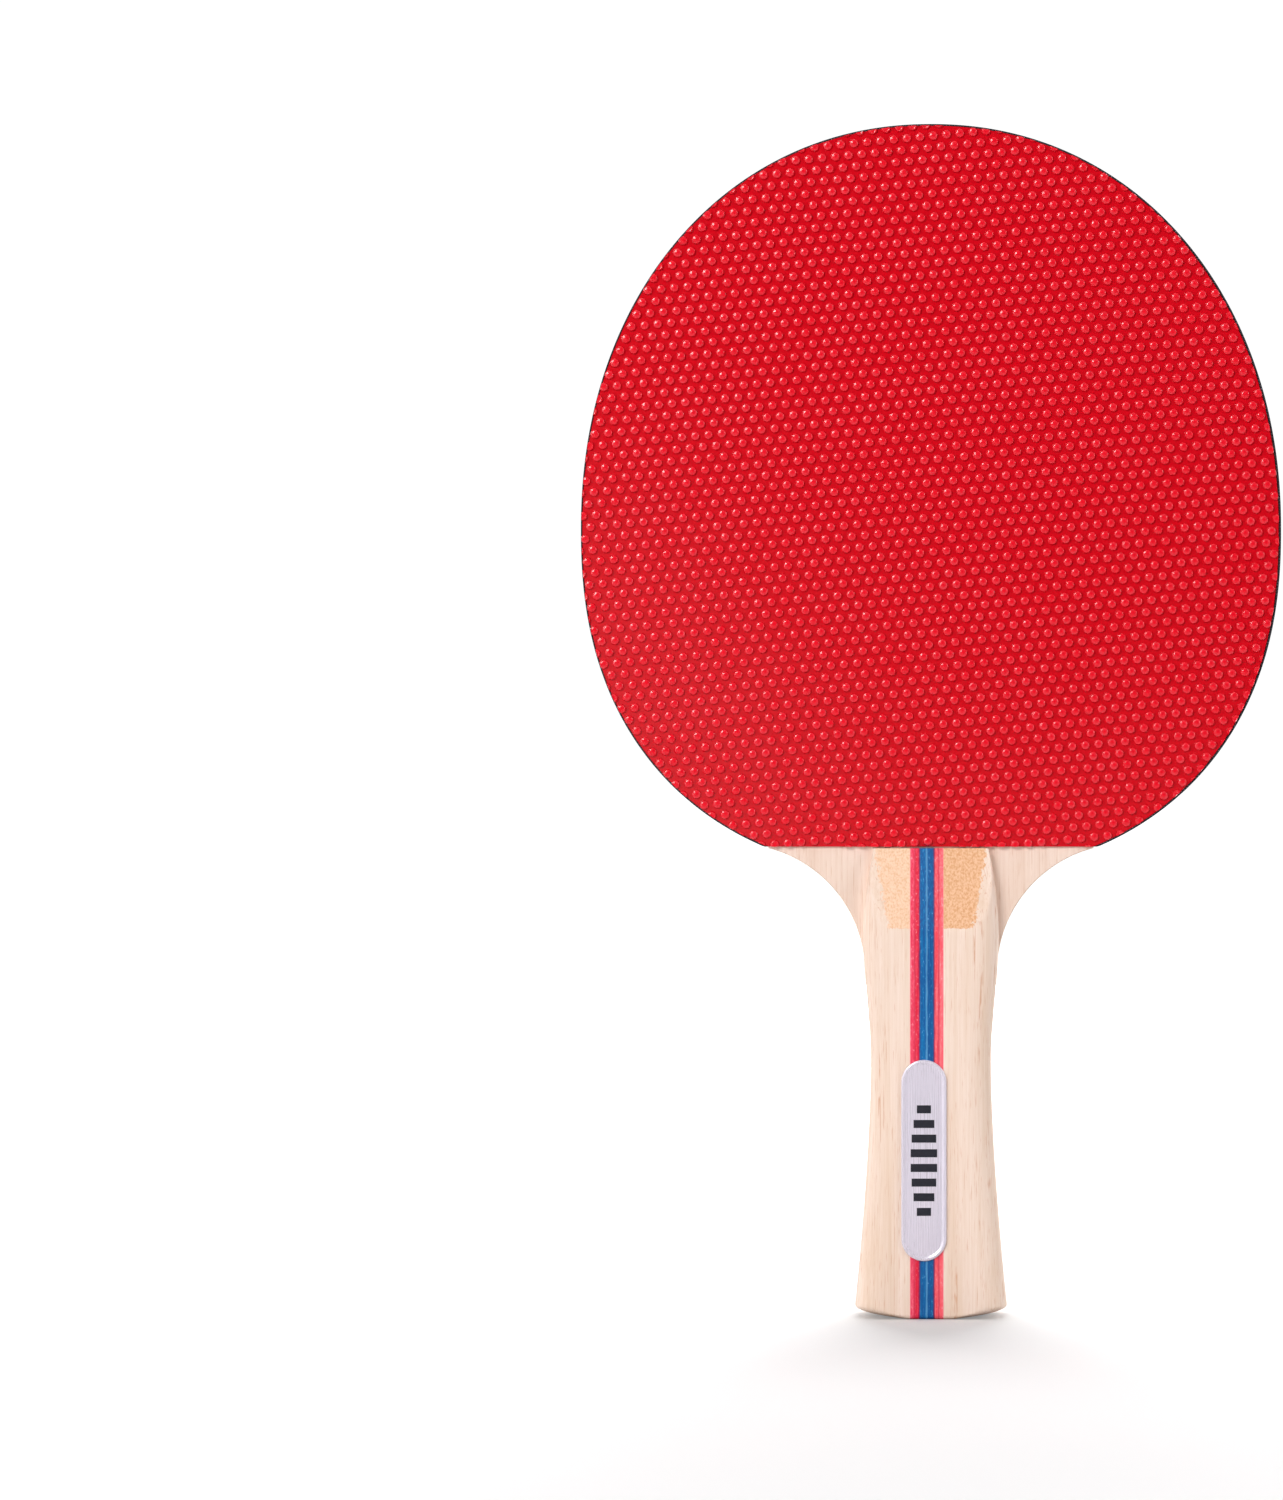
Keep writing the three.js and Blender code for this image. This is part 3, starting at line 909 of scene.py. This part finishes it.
def make_floor():
    """White seamless paper that glows just enough to burn out, but for the contact shadow."""
    size = FLOOR_HALF_SIZE
    mesh = bpy.data.meshes.new("floor")
    corners = [(-size, -size, 0), (size, -size, 0), (size, size, 0), (-size, size, 0)]
    mesh.from_pydata(corners, [], [(0, 1, 2, 3)])
    floor = bpy.data.objects.new("floor", mesh)
    bpy.context.scene.collection.objects.link(floor)
    shader = Shader("floor_paper", roughness=0.9, specular=0.0)
    paper = shader.noise(shader.place((0.02, 0.02, 0.02)), detail=2)
    shader.paint(shader.blend(paper, colour(238, 238, 238), colour(235, 235, 236)))
    where = shader.node("ShaderNodeTexCoord", {}, "Object")
    reach = shader.node("ShaderNodeVectorMath", {0: where}, "Value", operation="LENGTH")
    glow = shader.range(reach, 0, FLOOR_GLOW_REACH, FLOOR_GLOW_NEAR, FLOOR_GLOW_FAR)
    seen = shader.node("ShaderNodeLightPath", {}, "Is Camera Ray")
    shader.surface.inputs["Emission Color"].default_value = (1, 1, 1, 1)
    shader.tree.links.new(shader.product(glow, seen), shader.surface.inputs["Emission Strength"])
    mesh.materials.append(shader.material)


def make_area_light(name, location, size, power, receivers=None):
    """A round softbox aimed at the paddle. With receivers, it lights only that collection."""
    light = bpy.data.lights.new(name, "AREA")
    light.shape = "DISK"
    light.size = size
    light.energy = power
    lamp = bpy.data.objects.new(name, light)
    bpy.context.scene.collection.objects.link(lamp)
    lamp.location = location
    low, high = cad_bounds
    aim = (low + high) / 2 - lamp.location
    lamp.rotation_euler = aim.to_track_quat("-Z", "Y").to_euler()
    if receivers:
        lamp.light_linking.receiver_collection = receivers


def make_lights():
    """The same softboxes before each face, at its upper left. They spare the floor, and a light
    behind the paddle lights only the floor, so that the handle throws a short soft shadow."""
    paddle = bpy.data.collections.new("lit_by_softboxes")
    paper = bpy.data.collections.new("lit_from_behind")
    for piece in bpy.context.scene.objects:
        if piece.type == "MESH":
            (paper if piece.name == "floor" else paddle).objects.link(piece)
    for label, face in (("front", -1), ("rear", 1)):
        for name, (x, y, z), size, power in SOFTBOXES:
            make_area_light(f"{label}_{name}", (face * x, face * y, z), size, power, paddle)
    make_area_light("top", (0, 0, 1.7), 1.4, 5.4)
    make_area_light("floor_light", (0, 1.4, 0.2), 1.7, 84, paper)


def make_studio():
    """White surroundings, dim in front of either face so that the rubber keeps its colour.
    The camera sees them as pure white."""
    world = bpy.data.worlds.new("studio")
    world.use_nodes = True
    tree = world.node_tree
    background = tree.nodes["Background"]
    background.inputs["Color"].default_value = (1, 1, 1, 1)

    def joined(kind, inputs, **settings):
        node = tree.nodes.new(kind)
        for key, value in settings.items():
            setattr(node, key, value)
        for key, value in inputs.items():
            if isinstance(value, bpy.types.NodeSocket):
                tree.links.new(value, node.inputs[key])
            else:
                node.inputs[key].default_value = value
        return node.outputs

    direction = tree.nodes.new("ShaderNodeTexCoord").outputs["Generated"]
    parts = joined("ShaderNodeSeparateXYZ", {0: direction})
    ahead = joined("ShaderNodeMath", {0: parts["Y"]}, operation="ABSOLUTE")[0]
    light = joined("ShaderNodeMapRange", {0: ahead, 3: STUDIO_BESIDE, 4: STUDIO_AHEAD})[0]
    seen = tree.nodes.new("ShaderNodeLightPath").outputs["Is Camera Ray"]
    strength = joined("ShaderNodeMapRange", {0: seen, 3: light, 4: STUDIO_SEEN})[0]
    tree.links.new(strength, background.inputs["Strength"])
    bpy.context.scene.world = world
    bpy.context.scene.view_settings.view_transform = "Standard"


def make_camera():
    """A long lens straight in front, with the paddle at the right of the frame."""
    camera_data = bpy.data.cameras.new("camera")
    camera_data.sensor_width = SENSOR_WIDTH
    camera_data.lens = SENSOR_WIDTH * CAMERA_DISTANCE / VIEW_HEIGHT
    camera_data.shift_x = CAMERA_SHIFT
    camera = bpy.data.objects.new("camera", camera_data)
    bpy.context.scene.collection.objects.link(camera)
    camera.location = (0, -CAMERA_DISTANCE, EYE_HEIGHT)
    camera.rotation_euler = (math.pi / 2, 0, 0)
    bpy.context.scene.camera = camera


make_camera()
make_plies()
# Each rubber's ground, the paler tone of its pip tops (partly painted light), and the pale tone of
# its rims (partly wear, partly painted highlight).
make_rubber("rubber_front", "red_pimpled_rubber", -1,
            rubber("red_rubber", colour(208, 0, 22), colour(232, 10, 34), colour(248, 92, 108)))
make_rubber("rubber_rear", "blue_pimpled_rubber", 1,
            rubber("blue_rubber", colour(6, 82, 158), colour(36, 134, 210), colour(124, 196, 240)))
make_tape()
make_scale("front", -1)
make_scale("rear", 1)
make_badge()
make_floor()
make_lights()
make_studio()
